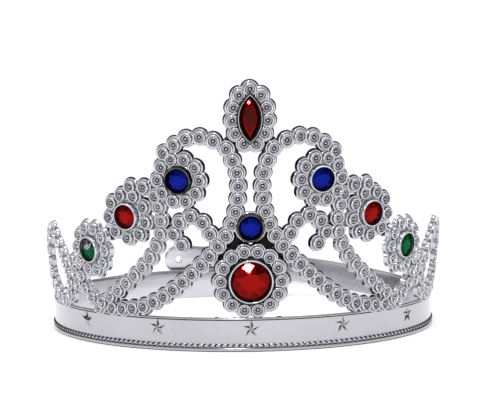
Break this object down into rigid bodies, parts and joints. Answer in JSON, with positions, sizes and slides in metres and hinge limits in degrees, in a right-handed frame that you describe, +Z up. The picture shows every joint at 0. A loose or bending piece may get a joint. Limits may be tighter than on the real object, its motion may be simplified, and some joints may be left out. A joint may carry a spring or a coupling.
{
  "type": "crown",
  "caption": "Costume tiara crown with a beaded filigree front that leans out, set gems, a headband with a rope and stars, and flexible rear straps that overlap and snap together.",
  "frame": {"origin": "on the crown's upright axis, in the plane that the headband stands on", "axes": "+Z up through the ring; the filigree front with the large red gem faces -Y; -X is the left side as seen from the front"},
  "size_m": [0.149, 0.1591, 0.0959],
  "materials": {
    "silver_plating": "vacuum-metallised bright silver over moulded plastic",
    "web_dark": "shaded thin web behind the beads",
    "gem_red": "faceted, foil-backed, clear gloss",
    "gem_blue": "faceted, foil-backed, clear gloss",
    "gem_green": "faceted, foil-backed, clear gloss"
  },
  "bodies": {
    "crown_frame": {"headband": "silver_plating", "rope_trim": "silver_plating", "stars": "silver_plating", "web_plates": "web_dark", "marquise_rosette": "silver_plating", "marquise_bezel": "silver_plating", "marquise_gem": "gem_red", "centre_bezel": "silver_plating", "centre_gem": "gem_blue", "front_rosette": "silver_plating", "front_bezel": "silver_plating", "front_gem": "gem_red", "left_upper_rosette": "silver_plating", "left_upper_bezel": "silver_plating", "left_upper_gem": "gem_blue", "right_upper_rosette": "silver_plating", "right_upper_bezel": "silver_plating", "right_upper_gem": "gem_blue", "left_middle_rosette": "silver_plating", "left_middle_bezel": "silver_plating", "left_middle_gem": "gem_red", "right_middle_rosette": "silver_plating", "right_middle_bezel": "silver_plating", "right_middle_gem": "gem_red", "left_lower_rosette": "silver_plating", "left_lower_bezel": "silver_plating", "left_lower_gem": "gem_green", "right_lower_rosette": "silver_plating", "right_lower_bezel": "silver_plating", "right_lower_gem": "gem_green", "left_centre_scroll": "silver_plating", "right_centre_scroll": "silver_plating", "left_top_arch": "silver_plating", "right_top_arch": "silver_plating", "left_inner_scroll": "silver_plating", "right_inner_scroll": "silver_plating", "left_side_arm": "silver_plating", "right_side_arm": "silver_plating", "left_link": "silver_plating", "right_link": "silver_plating", "left_side_sweep": "silver_plating", "right_side_sweep": "silver_plating", "left_outer_sweep": "silver_plating", "right_outer_sweep": "silver_plating", "left_spire_front": "silver_plating", "right_spire_front": "silver_plating", "left_spire_back": "silver_plating", "right_spire_back": "silver_plating"},
    "left_strap_body": {"left_strap": "silver_plating", "closing_peg": "silver_plating"},
    "right_strap_body": {"right_strap": "silver_plating"}
  },
  "joints": [
    {"name": "right_strap_flex", "type": "hinge", "parent": "crown_frame", "child": "right_strap_body", "pos_m": [0.07154, 0.00716, 0.00606], "axis": [-0.1045, 0, -0.9945], "range_deg": [0, 25], "stiffness_Nm_per_rad": 0.09},
    {"name": "left_strap_flex", "type": "hinge", "parent": "crown_frame", "child": "left_strap_body", "pos_m": [-0.07154, 0.00716, 0.006], "axis": [0, 0, -1], "range_deg": [0, 15], "stiffness_Nm_per_rad": 0.09}
  ]
}
